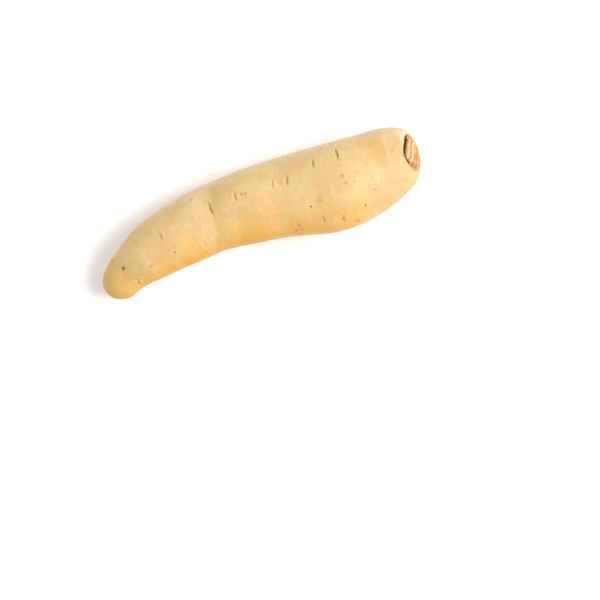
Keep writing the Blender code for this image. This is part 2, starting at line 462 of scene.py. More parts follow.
SCAR_RINGS = (
    ScarRing(1.00, -0.0001, 0.0000, 0.0000),
    ScarRing(0.96, 0.0004, 0.0000, 0.0000),
    ScarRing(0.93, 0.0018, 0.0001, 0.0000),
    ScarRing(0.89, 0.0032, 0.0003, 0.0000),
    ScarRing(0.84, 0.0033, 0.0006, 0.0001),
    ScarRing(0.79, 0.0016, 0.0009, 0.0004),
    ScarRing(0.74, 0.0003, 0.0010, 0.0007),
    ScarRing(0.62, 0.0000, 0.0010, 0.0009),
    ScarRing(0.46, 0.0000, 0.0010, 0.0010),
    ScarRing(0.30, 0.0000, 0.0010, 0.0010),
    ScarRing(0.15, 0.0000, 0.0010, 0.0010),
    ScarRing(0.00, 0.0000, 0.0010, 0.0010),
)
RIM_WAVES = (
    RimWave(2, 0.8, 0.030),
    RimWave(3, 2.0, 0.024),
    RimWave(5, 1.1, 0.012),
    RimWave(7, 0.3, 0.010),
)
FAR_SLITS = {
    "along": (0.12, 0.88),
    "turn": (95, 265),
    "length": (0.0022, 0.0046),
    "depth": (0.00010, 0.00022),
    "stain": (0.25, 0.60),
    "lean": (-0.15, 0.15),
}
FAR_DOTS = {"along_mm": (12, 158), "turn": (78, 280), "radius_mm": (0.40, 0.85), "stain": (0.35, 0.95)}
FAR_HUES = (Hue.DARK, Hue.TAN, Hue.RUST, Hue.ORANGE)


@dataclass(frozen=True)
class HeartLine:
    """The line that the root grows along, with its radius and directions at each place."""

    length: float = 0.170
    greatest_radius: float = 0.0219
    flattening: float = 0.96
    tip_rounding: float = 0.042
    slope_step: float = 0.014
    slant: float = 0.20
    slant_start: float = 0.90

    def channel(self, name: str, along: Array) -> Array:
        """One channel of the stations, on a smooth curve through them."""
        return through([s.along for s in STATIONS], [getattr(s, name) for s in STATIONS], along)

    def along_at(self, march: Array) -> Array:
        """Finds how far along some steps lead, each about as long as the tip's cap.

        Args:
            march: The numbers of steps.

        Returns:
            The shares of the length.
        """
        cap = 1 - np.cos(0.5 * np.pi * np.clip(march, 0, 1))
        body = 0.5 * np.pi * np.maximum(march - 1, 0)
        return np.minimum(STATIONS[0].along + self.tip_rounding * (cap + body), STATIONS[-1].along)

    def last_march(self) -> float:
        """How many steps reach the last station."""
        cap_end = STATIONS[0].along + self.tip_rounding
        return 1 + (STATIONS[-1].along - cap_end) / (0.5 * math.pi * self.tip_rounding)

    def radius(self, along: Array) -> Array:
        """The root's radius, rounded off at the tip."""
        into_tip = np.clip((along - STATIONS[0].along) / self.tip_rounding, 0, 1)
        return self.greatest_radius * self.channel("girth", along) * np.sqrt(1 - (1 - into_tip) ** 2)

    def point(self, along: Array) -> Array:
        """Finds points of the heart line.

        Args:
            along: The shares of the length.

        Returns:
            The points.
        """
        full_radius = self.greatest_radius * self.channel("girth", along)
        height = self.length * self.channel("lift", along) + self.flattening * full_radius
        return np.stack((self.length * along, self.length * self.channel("sway", along), height), -1)

    def directions(self, along: Array) -> tuple[Array, Array, Array]:
        """Works out which way the root points at each place.

        Args:
            along: The shares of the length.

        Returns:
            The directions forwards, upwards, and sideways towards +Y.
        """
        behind = self.point(np.maximum(along - self.slope_step, STATIONS[0].along))
        ahead = self.point(np.minimum(along + self.slope_step, STATIONS[-1].along))
        forward = ahead - behind
        forward /= np.linalg.norm(forward, axis=-1, keepdims=True)
        upward = np.array((0.0, 0.0, 1.0)) - forward * forward[..., 2:]
        upward /= np.linalg.norm(upward, axis=-1, keepdims=True)
        return forward, upward, np.cross(upward, forward)

    def skin_point(self, at: Places, height: Array) -> Array:
        """Places points on the skin.

        Args:
            at: The points.
            height: How far each stands out from the plain round body.

        Returns:
            The points, one row each.
        """
        forward, upward, sideways = self.directions(at.along)
        into_crown = np.maximum(0, at.along - self.slant_start) / (STATIONS[-1].along - self.slant_start)
        sideways = sideways + (self.slant * into_crown**2)[..., None] * forward
        turn = np.radians(at.turn)
        out = np.sin(turn)[..., None] * sideways + self.flattening * np.cos(turn)[..., None] * upward
        return self.point(at.along) + (at.radius + height)[..., None] * out


@dataclass(frozen=True)
class Marks:
    """The slits and dots of the whole skin: those listed one by one, and a seeded draw on the far side.

    A mark is written on the points within its reach, which is a share of its own size and a margin. All other
    points get the value of the field nothing, a place far outside every mark.
    """

    seed: int = 11
    far_slits: int = 9
    far_dots: int = 26
    slit_width: float = 0.00034
    slit_half: float = 0.60
    slit_reach: float = 1.2
    slit_margins: Pair = (0.00182, 0.0013)
    dot_reach: float = 1.5
    dot_margin: float = 0.00091
    nothing: Triple = (9.0, 9.0, 0.0)

    def slits(self) -> tuple[Slit, ...]:
        """Gathers the fine slits, which the solid doesn't have.

        Returns:
            Those listed, and those drawn for the far side.
        """
        draw = random.Random(self.seed)
        far = []
        for _ in range(self.far_slits):
            far.append(Slit(**{name: draw.uniform(*span) for name, span in FAR_SLITS.items()}))
        return SMALL_SLITS + tuple(far)

    def dots(self) -> tuple[Dot, ...]:
        """Gathers the dots.

        Returns:
            Those listed, and those drawn for the far side.
        """
        draw = random.Random(self.seed + 1)
        far = []
        for _ in range(self.far_dots):
            sizes = {name: draw.uniform(*span) for name, span in FAR_DOTS.items()}
            far.append(Dot(**sizes, hue=draw.choice(FAR_HUES)))
        return DOTS + tuple(far)

    def near_slit(self, at: Places) -> Array:
        """Gives each point its place beside the nearest slit.

        Args:
            at: The points.

        Returns:
            For each point its distance across the slit in widths, along it in half lengths, and the stain,
            which is 0 away from any slit.
        """
        found = np.tile(self.nothing, (len(at.along), 1))
        nearest = np.full(len(at.along), np.inf)
        for slit in SLITS + self.slits():
            ahead, aside = slit.beside(at)
            half = self.slit_half * slit.length
            far = np.hypot(ahead, np.maximum(np.abs(aside) - half, 0))
            near = (np.abs(ahead) < self.slit_margins[0]) & (far < nearest)
            near &= np.abs(aside) < self.slit_reach * half + self.slit_margins[1]
            nearest[near] = far[near]
            parts = np.broadcast_arrays(ahead / self.slit_width, aside / half, slit.stain)
            found[near] = np.stack(parts, -1)[near]
        return found

    def near_dot(self, at: Places) -> tuple[Array, Array]:
        """Gives each point its place beside the nearest dot.

        Args:
            at: The points.

        Returns:
            For each point its distances along and round the root from the dot, in the dot's radii, with the
            stain, which is 0 away from any dot; and the dot's hue and halo.
        """
        found = np.tile(self.nothing, (len(at.along), 1))
        kind = np.zeros((len(at.along), 3))
        nearest = np.full(len(at.along), np.inf)
        for dot in self.dots():
            radius = dot.radius_mm * MM
            ahead, aside = at.ahead() - dot.along_mm * MM, at.aside(dot.turn)
            far = np.hypot(aside, ahead)
            near = (far < self.dot_reach * radius + self.dot_margin) & (far / radius < nearest)
            nearest[near] = far[near] / radius
            found[near] = np.stack(np.broadcast_arrays(ahead / radius, aside / radius, dot.stain), -1)[near]
            kind[near] = (dot.hue.value, dot.halo, 0)
        return found, kind


@dataclass(frozen=True)
class Relief:
    """What stands out from the plain round body of the skin, or is sunk into it."""

    marks: Marks
    slit_width: float = 0.0011
    small_slit_width: float = 0.00075
    slit_lip_share: float = 0.30
    slit_end_share: float = 0.75
    fade_radius: float = 0.0066
    lumps: tuple[Cloud, ...] = (
        Cloud(0.00016, (0.010, 0.010, 0.014), 1.3),
        Cloud(0.00006, (0.0034, 0.0034, 0.0034), 5.9),
        Cloud(0.00004, (0.0026, 0.0026, 0.024), 4.4),
    )
    patches: Cloud = Cloud(1.0, (0.020, 0.020, 0.026), 8.2)
    patch_edges: Fade = Fade(-0.3, 0.4)
    rings: Cloud = Cloud(0.00005, (0.013, 0.013, 0.0016), 2.7)
    dot_pit: float = 0.00014
    dot_rim: float = 0.00010
    dot_radius: float = 1.2
    dot_rim_reach: float = 0.9
    crease_depth: float = 0.00022
    fold_height: float = 0.00016

    def broad(self, at: Places) -> Array:
        """Raises the lumps and sinks the dents, most of which the solid has too.

        Args:
            at: The points.

        Returns:
            The height of each over the plain body.
        """
        height = np.zeros_like(at.along)
        for lump in LUMPS:
            waves_along = np.sin(math.tau * lump.waves_along * at.along + lump.start)
            height += lump.height * waves_along * np.cos(lump.waves_round * np.radians(at.turn) + lump.start)
        for dent in DENTS + SMALL_DENTS:
            ahead = bell(at.length * (at.along - dent.along), dent.reach_along)
            height -= dent.depth * ahead * bell(angle_between(at.turn, dent.turn), dent.reach_turn)
        return height

    def slits(self, at: Places, slits: tuple[Slit, ...], width: float) -> Array:
        """Opens slits, each with a low lip beside it.

        Args:
            at: The points.
            slits: The slits.
            width: How far a slit reaches on either side of its middle.

        Returns:
            The height of each over the plain body.
        """
        height = np.zeros_like(at.along)
        for slit in slits:
            ahead, aside = slit.beside(at)
            opening = slit.depth * bell(aside, self.slit_end_share * slit.length)
            height += opening * (self.slit_lip_share * bell(ahead - width, width) - bell(ahead, width))
        return height

    def height(self, at: Places) -> Array:
        """Works out the whole relief, which fades where the root narrows to its end.

        Args:
            at: The points.

        Returns:
            The height of each over the plain body.
        """
        grain = at.grain()
        dot, kind = self.marks.near_dot(at)
        far = np.hypot(dot[:, 0], dot[:, 1])
        rim = self.dot_rim * kind[:, 1] * bell(far - self.dot_radius, self.dot_rim_reach)
        height = self.broad(at) + dot[:, 2] * (rim - self.dot_pit * bell(far, self.dot_radius))
        height += self.slits(at, SLITS, self.slit_width)
        height += self.slits(at, self.marks.slits(), self.small_slit_width)
        height += self.patch_edges.of(self.patches.read(grain)) * self.rings.read(grain)
        height += sum(lumps.read(grain) for lumps in self.lumps)
        height += self.fold_height * spread(FOLDS, at) - self.crease_depth * spread(CREASES, at)
        return np.minimum(1, at.radius / self.fade_radius) * height


@dataclass(frozen=True)
class Scar:
    """The torn face at the crown: a flattened rim, a crevice inside it, and ridges of fibres in its middle.

    Turns are in radians. A knot counts the scar's rings from its rim inwards, and is -1 where the skin ends.
    """

    heart: HeartLine
    radius: float = 0.0094
    crevice_turn: float = math.radians(36)
    crevice_shallowest: float = 0.06
    crack_facing: Fade = Fade(0.22, 0.62)
    ridge_turn: float = math.radians(49)
    ridge_spacing: float = 0.0048
    ridge_height: float = 0.00030
    crest_place: float = 0.0003
    flat_share: float = 0.18
    flat_reach: float = math.radians(70)
    torn_unevenness: float = 1.8
    leaves: Cloud = Cloud(0.00020, (0.0007, 0.0042, 0.004), 3.1)
    coarse: Cloud = Cloud(0.00026, (0.0015, 0.0032, 0.004), 7.7)
    groove_place: float = -0.0016
    groove_reach: float = 0.0005
    groove_depth: float = 0.00030
    chips: Cloud = Cloud(0.0004, (0.25, 0.25, 0.25), 6.3)
    small_chips: Cloud = Cloud(0.00016, (0.09, 0.09, 0.09), 9.1)
    chip_knots: float = 2.0
    collar_step: float = 0.0008

    def ring(self, name: str, knot: Array) -> Array:
        """One value of the scar's rings, on a smooth curve through them."""
        values = [getattr(ring, name) for ring in SCAR_RINGS]
        return through(list(range(len(values))), values, np.maximum(knot, 0))

    def facing(self, turn: Array) -> Array:
        """How much each turn faces the deepest place of the crevice."""
        return (0.5 + 0.5 * np.cos(turn - self.crevice_turn)) ** 2

    def crevice(self, knot: Array, turn: Array) -> Array:
        """How deep the crevice is."""
        deepness = self.crevice_shallowest + (1 - self.crevice_shallowest) * self.facing(turn)
        return deepness * self.ring("depth", knot)

    def crack_stain_and_shade(self, knot: Array, turn: Array) -> Array:
        """How deep the dark part of the crevice is, which ends where the crevice gets shallow. The finish
        paints it dark brown, part stain and part painted shade.
        """
        return np.where(knot > 0, self.ring("depth", knot) * self.crack_facing.of(self.facing(turn)), 0)

    def end(self) -> tuple[Array, ...]:
        """The end of the heart line, with its directions forwards, upwards and sideways."""
        last = np.float64(STATIONS[-1].along)
        return self.heart.point(last), *self.heart.directions(last)

    def along_ridges(self, across: Array, height: Array, depth: Array) -> Array:
        """Turns places on the scar: the first part then runs across its ridges, and the second along them."""
        cos, sin = math.cos(self.ridge_turn), math.sin(self.ridge_turn)
        return np.stack((-(across * sin + height * cos), across * cos - height * sin, depth), -1)

    def fibres(self, grain: Array) -> Array:
        """The torn fibres: thin leaves that run along the ridges, with pits and one groove between them."""
        groove = self.groove_depth * bell(grain[:, 0] - self.groove_place, self.groove_reach)
        return self.leaves.read(grain) + self.coarse.read(grain) - groove

    def broken(self, turn: Array) -> Array:
        """How far the torn edge of the skin is broken back at each turn."""
        round_rim = np.stack((np.cos(turn), np.sin(turn), np.zeros_like(turn)), -1)
        return np.maximum(0, self.chips.read(round_rim) + self.small_chips.read(round_rim))

    def points(self, knot: Array, turn: Array) -> Array:
        """Places points on the scar, or on the collar between the skin and its rim.

        Args:
            knot: The knots.
            turn: The turns.

        Returns:
            The points, one row each.
        """
        middle, forward, upward, sideways = self.end()
        sideways = sideways + self.heart.slant * forward
        share, shift = self.ring("radius", knot), self.ring("shift", knot)
        inner = np.clip(knot - 1, 0, 1)
        waves = sum(wave.share * np.sin(wave.count * turn + wave.start) for wave in RIM_WAVES)
        from_flat = (turn - self.ridge_turn + math.pi) % math.tau - math.pi
        flat = self.flat_share * bell(from_flat, self.flat_reach)
        radius = self.radius * share * (1 + (1 + (self.torn_unevenness - 1) * inner) * waves) * (1 - flat)
        height = radius * np.cos(turn) - shift * math.cos(self.crevice_turn)
        across = radius * np.sin(turn) - shift * math.sin(self.crevice_turn)
        place = across * math.sin(self.ridge_turn) + height * math.cos(self.ridge_turn) - self.crest_place
        ridge = self.ridge_height * np.cos(math.tau * place / self.ridge_spacing)
        depth = self.crevice(knot, turn) - self.ring("rise", knot) - inner * (1 - share**4) * ridge
        depth -= inner * self.fibres(self.along_ridges(across, height, depth))
        depth += np.clip(1 - np.abs(knot) / self.chip_knots, 0, 1) * self.broken(turn)
        return middle + across[:, None] * sideways + height[:, None] * upward - depth[:, None] * forward

    def beside(self, points: Array) -> Array:
        """Measures where points are on the scar.

        Args:
            points: The points, one row each.

        Returns:
            Their distances across the ridges, along them, and along the root from its start.
        """
        middle, forward, upward, sideways = self.end()
        out = points - middle
        return self.along_ridges(out @ sideways, out @ upward, self.heart.length + out @ forward)

    def inside(self, at: Places) -> Array:
        """Measures how far points are in from the scar's rim. The collar has two steps, one a knot.

        Args:
            at: The points.

        Returns:
            The distances, which are below 0 on the collar and the skin.
        """
        face = self.radius * (1 - self.ring("radius", at.knot))
        inside = np.where(at.knot > 0, face, self.collar_step * at.knot)
        skin = -2 * self.collar_step - at.length * (STATIONS[-1].along - at.along)
        return np.where(at.knot < -1, skin, inside)


@dataclass(frozen=True)
class Shades:
    """Where the colour of the skin changes.

    Places are in mm from the tip, and turns in degrees.
    """

    # The crown's darker tan is painted shade: it sits where the key light falls on the crown and tones its
    # brightness down.
    crown_place: float = 152
    crown_reach: float = 40
    crown_turn: float = -30
    crown_turn_reach: float = 150
    # The green-tan streaks and tip: painted shade in the crown's saddle and the waist hollow, the skin's own
    # tone elsewhere.
    olive_tip: Fade = Fade(20, 4, 0.15)
    # The golden underside and tip: partly the skin's own colour, partly painted warm shade along the lower
    # side; the paler spans thin it where the lower edge takes the light.
    gold_near: Fade = Fade(-5, 84)
    gold_far: Fade = Fade(100, 170)
    gold_end: Fade = Fade(152, 118)
    gold_end_fray: float = 0.4
    gold_tip: Fade = Fade(36, 4, 0.45)
    gold_tip_fray: float = 0.2
    paler_half: Fade = Fade(78, 104, 0.14)
    paler_belly: Fade = Fade(66, 140, 0.38)
    paler_belly_fray: float = 0.5
    # The pinkish-grey edge on the +Y side, from turn 36 to 136: a painted sheen of white light glancing off
    # the skin.
    sheen_start: Fade = Fade(36, 76)
    sheen_end: Fade = Fade(136, 84)
    sheen_tip: Fade = Fade(22, 50)
    gold_fray: Cloud = Cloud(20, (0.011, 0.011, 0.017), 3.6)
    gold_fine_fray: Cloud = Cloud(12, (0.004, 0.004, 0.005), 6.6)
    sheen_fray: Cloud = Cloud(16, (0.010, 0.010, 0.016), 1.9)
    sheen_fine_fray: Cloud = Cloud(10, (0.004, 0.004, 0.005), 4.9)

    def zones(self, at: Places) -> Array:
        """Divides the skin into the crown, the hollows, and the golden underside and tip. The crown's darker
        tan is painted shade; the green-tan of the hollows is painted shade in the crown's saddle and the
        waist, and the skin's own tone elsewhere; the underside's golden tone is partly the skin's own and
        partly painted warm shade.

        Args:
            at: The points.

        Returns:
            The share of the three at each.
        """
        place, below, grain = at.ahead() / MM, np.abs(angle_between(at.turn, 0)), at.grain()
        # painted shade on the crown, where the key light falls
        from_crown = angle_between(at.turn, self.crown_turn)
        crown = bell(place - self.crown_place, self.crown_reach) * bell(from_crown, self.crown_turn_reach)
        # green-tan: painted shade in the hollows, the skin's own tone elsewhere
        olive_and_shade = self.olive_tip.of(place) + spread(OLIVE_TRAILS, at)
        # golden: partly the skin's own colour, partly painted warm shade on the lower side
        fray = self.gold_fray.read(grain) + self.gold_fine_fray.read(grain)
        gold_and_warm_shade = np.where(at.turn < 0, self.gold_near.of(below + fray), self.gold_far.of(below + fray))
        gold_and_warm_shade *= self.gold_end.of(place + self.gold_end_fray * fray) * (1 - self.paler_half.of(place))
        gold_and_warm_shade *= 1 - self.paler_belly.of(below + self.paler_belly_fray * fray)
        tip = self.gold_tip.of(place + self.gold_tip_fray * fray)
        return np.stack((crown, np.clip(olive_and_shade, 0, 1), np.maximum(gold_and_warm_shade, tip)), -1)

    def tints(self, at: Places) -> Array:
        """Finds the pinkish-grey edge, which is a painted sheen, the peach patches, and the light streaks of
        the skin, which on the folds are a painted highlight.

        Args:
            at: The points.

        Returns:
            The share of the three at each.
        """
        # painted sheen: a pinkish-grey tint along the +Y edge, where the light glances off
        turn = at.turn + self.sheen_fray.read(at.grain()) + self.sheen_fine_fray.read(at.grain())
        painted_sheen = self.sheen_start.of(turn) * self.sheen_end.of(turn) * self.sheen_tip.of(at.ahead() / MM)
        # pale streaks: a painted highlight on the folds' lit ridges, paler skin elsewhere
        peach, light = np.clip(spread(PEACH_TRAILS, at), 0, 1), np.clip(spread(LIGHT_TRAILS, at), 0, 1)
        return np.stack((painted_sheen, peach, light), -1)


@dataclass
class Root:
    """The whole root as one closed mesh, from a coarse cage of rings to the fine skin."""

    heart: HeartLine = field(default_factory=HeartLine)
    marks: Marks = field(default_factory=Marks)
    shades: Shades = field(default_factory=Shades)
    sides: int = 24
    cage_rings: int = 30
    scar_cage: tuple[float, ...] = (0.0, 1.5, 3.0, 4.5, 6.0, 7.5, 9.0, 11.0)
    levels: int = 3
    mark_cuts: int = 2
    worn_collar: float = 0.0009
    worn_turn: float = -65
    worn_reach: float = 80
    merge_distance: float = 1e-6

    def cage(self) -> bpy.types.Object:
        """Grows the cage from a circle by extruding its edge from ring to ring.

        The rings stand evenly over the skin, and then over the scar, where a knot is one march.

        Returns:
            The cage's object, whose vertices keep their turn and their march in the attribute place.
        """
        last = self.heart.last_march()
        marches = [last * ring / self.cage_rings for ring in range(self.cage_rings + 1)]
        marches += [last + 1 + knot for knot in self.scar_cage]
        bpy.ops.object.select_all(action="DESELECT")
        bpy.ops.mesh.primitive_circle_add(vertices=self.sides, radius=self.heart.greatest_radius)
        root = bpy.context.object
        root.name = root.data.name = "root_skin"
        bpy.ops.object.mode_set(mode="EDIT")
        bpy.ops.mesh.select_mode(type="VERT")
        bpy.ops.mesh.select_all(action="SELECT")
        bpy.ops.transform.rotate(
            value=-0.5 * math.pi, orient_axis="Y", orient_type="GLOBAL", center_override=(0, 0, 0)
        )
        mesh = bmesh.from_edit_mesh(root.data)
        layer = mesh.verts.layers.float_vector.new("place")
        for vertex in mesh.verts:
            turn = math.atan2(vertex.co.y, vertex.co.z)
            vertex[layer] = (math.cos(turn), math.sin(turn), marches[0])
        step = self.heart.length / len(marches)
        for march in marches[1:]:
            bpy.ops.mesh.extrude_region_move(TRANSFORM_OT_translate={"value": (step, 0, 0)})
            mesh = bmesh.from_edit_mesh(root.data)
            layer = mesh.verts.layers.float_vector["place"]
            for vertex in mesh.verts:
                if vertex.select:
                    vertex[layer] = (*vertex[layer][:2], march)
        bpy.ops.object.mode_set(mode="OBJECT")
        return root

    def read(self, root: bpy.types.Object) -> Places:
        """Reads where each vertex belongs.

        Args:
            root: The root's object, with the attribute place.

        Returns:
            The places of its vertices.
        """
        place = np.zeros(len(root.data.vertices) * 3, np.float32)
        root.data.attributes["place"].data.foreach_get("vector", place)
        cos, sin, march = place.reshape(-1, 3).astype(float).T
        along, knot = self.heart.along_at(march), march - self.heart.last_march() - 1
        turn = np.degrees(np.arctan2(sin, cos))
        return Places(self.heart.length, along, turn, self.heart.radius(along), knot)

    def subdivide(self, root: bpy.types.Object) -> None:
        """Makes the cage fine all over, and finer still round each slit and dot.

        Args:
            root: The cage's object.
        """
        fine = root.modifiers.new("fine", "SUBSURF")
        fine.levels = fine.render_levels = self.levels
        bpy.ops.object.modifier_apply(modifier=fine.name)
        at = self.read(root)
        stain = self.marks.near_slit(at)[:, 2] + self.marks.near_dot(at)[0][:, 2]
        marked = (stain > 0) & (at.knot < -1)
        corners = np.zeros(len(root.data.loops), np.int32)
        root.data.loops.foreach_get("vertex_index", corners)
        chosen = marked[corners].reshape(-1, 4).all(axis=1)
        root.data.vertices.foreach_set("select", np.zeros(len(root.data.vertices), bool))
        root.data.edges.foreach_set("select", np.zeros(len(root.data.edges), bool))
        root.data.polygons.foreach_set("select", chosen)
        bpy.ops.object.mode_set(mode="EDIT")
        bpy.ops.mesh.select_mode(type="FACE")
        bpy.ops.mesh.subdivide(number_cuts=self.mark_cuts, ngon=False)
        bpy.ops.object.mode_set(mode="OBJECT")

    def sculpt(self, root: bpy.types.Object) -> None:
        """Moves every vertex of the fine mesh to its place on the root, and flattens the spot it rests on.

        Args:
            root: The root's object.
        """
        at, scar = self.read(root), Scar(self.heart)
        points = self.heart.skin_point(at, Relief(self.marks).height(at))
        torn = at.knot > -1
        share = np.clip(at.knot[torn] + 1, 0, 1)[:, None]
        face = scar.points(at.knot[torn], np.radians(at.turn[torn]))
        points[torn] = (1 - share) * points[torn] + share * face
        points[:, 2] = np.maximum(points[:, 2], 0)
        low, high = (np.array(corner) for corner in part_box("root"))
        middle = 0.5 * (low + high) - 0.5 * (points.min(0) + points.max(0))
        middle[2] = 0  # its flat spot already lies on the surface
        root.data.vertices.foreach_set("co", (points + middle).astype(np.float32).ravel())
        self.write_attributes(root, at, scar, points)

    def write_attributes(self, root: bpy.types.Object, at: Places, scar: Scar, points: Array) -> None:
        """Keeps on the vertices what the finishes read.

        Args:
            root: The root's object.
            at: The vertices' places.
            scar: The scar.
            points: The vertices before the root was moved over its origin.
        """
        striped = scar.beside(points)
        worn = self.worn_collar * bell(angle_between(at.turn, self.worn_turn), self.worn_reach)
        dot, kind = self.marks.near_dot(at)
        vectors = {
            "grain": np.where(at.knot[:, None] > 0, striped, at.grain()),
            "scar": np.stack((striped[:, 0], striped[:, 1], scar.inside(at) + worn), -1) / MM,
            "slit": self.marks.near_slit(at),
            "dot": dot,
            "dot_kind": kind,
            # zone: the crown's painted shade, the green-tan (painted shade in the hollows) and the golden
            # underside (partly painted warm shade)
            "zone": self.shades.zones(at),
            # tint: the painted sheen on the +Y edge, the peach patches, and the pale streaks (a painted
            # highlight on the folds)
            "tint": self.shades.tints(at),
        }
        for name, values in vectors.items():
            attribute = root.data.attributes.new(name, "FLOAT_VECTOR", "POINT")
            attribute.data.foreach_set("vector", values.astype(np.float32).ravel())
        # cleft: depth of the crevice's dark part, painted dark brown as stain and painted shade
        attribute = root.data.attributes.new("cleft", "FLOAT", "POINT")
        cleft = scar.crack_stain_and_shade(at.knot, np.radians(at.turn)) / MM
        attribute.data.foreach_set("value", cleft.astype(np.float32))
        root.data.attributes.remove(root.data.attributes["place"])

    def close(self, root: bpy.types.Object) -> None:
        """Closes the poles, turns the faces outwards and shades them smooth.

        Args:
            root: The root's object.
        """
        bpy.ops.object.mode_set(mode="EDIT")
        bpy.ops.mesh.select_mode(type="VERT")
        bpy.ops.mesh.select_all(action="SELECT")
        bpy.ops.mesh.remove_doubles(threshold=self.merge_distance)
        bpy.ops.mesh.normals_make_consistent(inside=False)
        bpy.ops.mesh.select_all(action="DESELECT")
        bpy.ops.object.mode_set(mode="OBJECT")
        bpy.ops.object.shade_smooth()

    def build(self) -> bpy.types.Object:
        """Builds the root.

        Returns:
            The finished root, riding on its body.
        """
        root = self.cage()
        self.subdivide(root)
        self.sculpt(root)
        self.close(root)
        root.data.materials.append(RootFinish().material())
        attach(root, "root")
        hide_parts("root")
        return root


def operator(name: str, swapped: bool = False) -> Callable[..., "Signal"]:
    """Makes a method that adds one Math node.

    Args:
        name: What the node does.
        swapped: Whether the other value comes first.

    Returns:
        The method.
    """

    def method(self: "Signal", *others: "Value") -> "Signal":
        """What the node gives for this value and the others."""
        return self.graph.math(name, *others, self) if swapped else self.graph.math(name, self, *others)

    return method


class Signal:
    """What comes out of a node's socket. Arithmetic on it adds Math nodes."""

    __add__ = __radd__ = operator("ADD")
    __sub__ = operator("SUBTRACT")
    __rsub__ = operator("SUBTRACT", swapped=True)
    __mul__ = __rmul__ = operator("MULTIPLY")
    __truediv__ = operator("DIVIDE")
    __pow__ = operator("POWER")
    __abs__ = operator("ABSOLUTE")

    def __init__(self, graph: "Graph", socket: bpy.types.NodeSocket) -> None:
        """Keeps the socket and the graph that it is in."""
        self.graph = graph
        self.socket = socket

    def fade(self, fade: Fade) -> "Signal":
        """How much there is of a fade at this value."""
        inputs = {"Value": self, "From Min": fade.gone, "From Max": fade.full, "To Max": fade.share}
        return self.graph.add("ShaderNodeMapRange", {"interpolation_type": "SMOOTHSTEP"}, inputs)

    def clamped(self) -> "Signal":
        """This value, kept between 0 and 1."""
        return self.graph.add("ShaderNodeClamp", {}, {"Value": self})

    def part(self, axis: str) -> "Signal":
        """The X, Y or Z part of a vector."""
        return self.graph.add("ShaderNodeSeparateXYZ", {}, {"Vector": self}, axis)

    def parts(self) -> tuple["Signal", ...]:
        """All three parts of a vector."""
        return tuple(self.part(axis) for axis in "XYZ")

    def over(self, spans: Triple) -> "Signal":
        """A place in metres with each part divided by a span in mm."""
        shares = tuple(1 / (span * MM) for span in spans)
        return self.graph.add("ShaderNodeVectorMath", {"operation": "MULTIPLY"}, {0: self, 1: shares})


Value = Union[Signal, float, int]


class Graph:
    """A material and its nodes."""

    def __init__(self, name: str) -> None:
        """Starts a material that has no nodes.

        Args:
            name: The material's name.
        """
        self.material = bpy.data.materials.new(name)
        self.material.use_nodes = True
        self.nodes = self.material.node_tree.nodes
        self.links = self.material.node_tree.links
        self.nodes.clear()

    def add(
        self, kind: str, settings: dict[str, Any], inputs: dict[Any, Any], output: Union[int, str] = 0
    ) -> Signal:
        """Adds any node.

        Args:
            kind: The node's type.
            settings: The node's own settings, which are set first. stops are those of a colour ramp.
            inputs: The value or the link of each socket, by name or number.
            output: Which output is meant.

        Returns:
            The output.
        """
        node = self.nodes.new(kind)
        for name, setting in settings.items():
            if name == "stops":
                first, *between, last = setting
                for element, stop in zip(node.color_ramp.elements, (first, last)):
                    element.position, element.color = stop
                for place, colour in between:
                    node.color_ramp.elements.new(place).color = colour
            else:
                setattr(node, name, setting)
        for name, value in inputs.items():
            socket = self.find(node.inputs, name)
            if isinstance(value, Signal):
                self.links.new(value.socket, socket)
            else:
                socket.default_value = value
        return Signal(self, self.find(node.outputs, output))

    def find(self, sockets: Any, name: Union[int, str]) -> bpy.types.NodeSocket:
        """The socket of this name or number among those in use."""
        used = [socket for socket in sockets if socket.enabled]
        return used[name] if isinstance(name, int) else next(socket for socket in used if socket.name == name)

    def math(self, operation: str, *values: Value) -> Signal:
        """One Math node."""
        return self.add("ShaderNodeMath", {"operation": operation}, dict(enumerate(values)))

    def lay(self, colour: Any, *layers: tuple[Value, Any]) -> Signal:
        """Lays more colours over a colour.

        Args:
            colour: The colour at the bottom.
            layers: Each layer's share, which is kept between 0 and 1, and its colour.

        Returns:
            The colour on top.
        """
        settings = {"data_type": "RGBA"}
        for share, over in layers:
            colour = self.add("ShaderNodeMix", settings, {"Factor": share, "A": colour, "B": over})
        return colour

    def ramp(self, place: Signal, stops: list[Stop]) -> Signal:
        """The colour at a place on a ramp from 0 to 1."""
        return self.add("ShaderNodeValToRGB", {"stops": stops}, {"Fac": place})

    def attribute(self, name: str, output: str = "Vector") -> Signal:
        """What the mesh keeps on its vertices under a name."""
        return self.add("ShaderNodeAttribute", {"attribute_name": name}, {}, output)

    def finish(self, shader: dict[str, Any]) -> bpy.types.Material:
        """Puts the surface on the material, which is then done.

        Args:
            shader: The value or the link of each of the surface's sockets.

        Returns:
            The material.
        """
        surface = self.add("ShaderNodeBsdfPrincipled", {}, shader)
        output = self.nodes.new("ShaderNodeOutputMaterial")
        self.links.new(surface.socket, output.inputs["Surface"])
        return self.material


@dataclass(frozen=True)
class Pattern:
    """Random noise, from 0 to 1 or through a fade, with the size of its lumps in mm."""

    spans: Triple
    detail: float = 2.0
    roughness: float = 0.5
    fade: Optional[Fade] = None

    def read(self, place: Signal) -> Signal:
        """Reads the noise.

        Args:
            place: The place, in metres.

        Returns:
            The noise there.
        """
        inputs = {"Vector": place.over(self.spans), "Scale": 1.0}
        inputs |= {"Detail": self.detail, "Roughness": self.roughness}
        value = place.graph.add("ShaderNodeTexNoise", {}, inputs, "Fac")
        return value.fade(self.fade) if self.fade else value


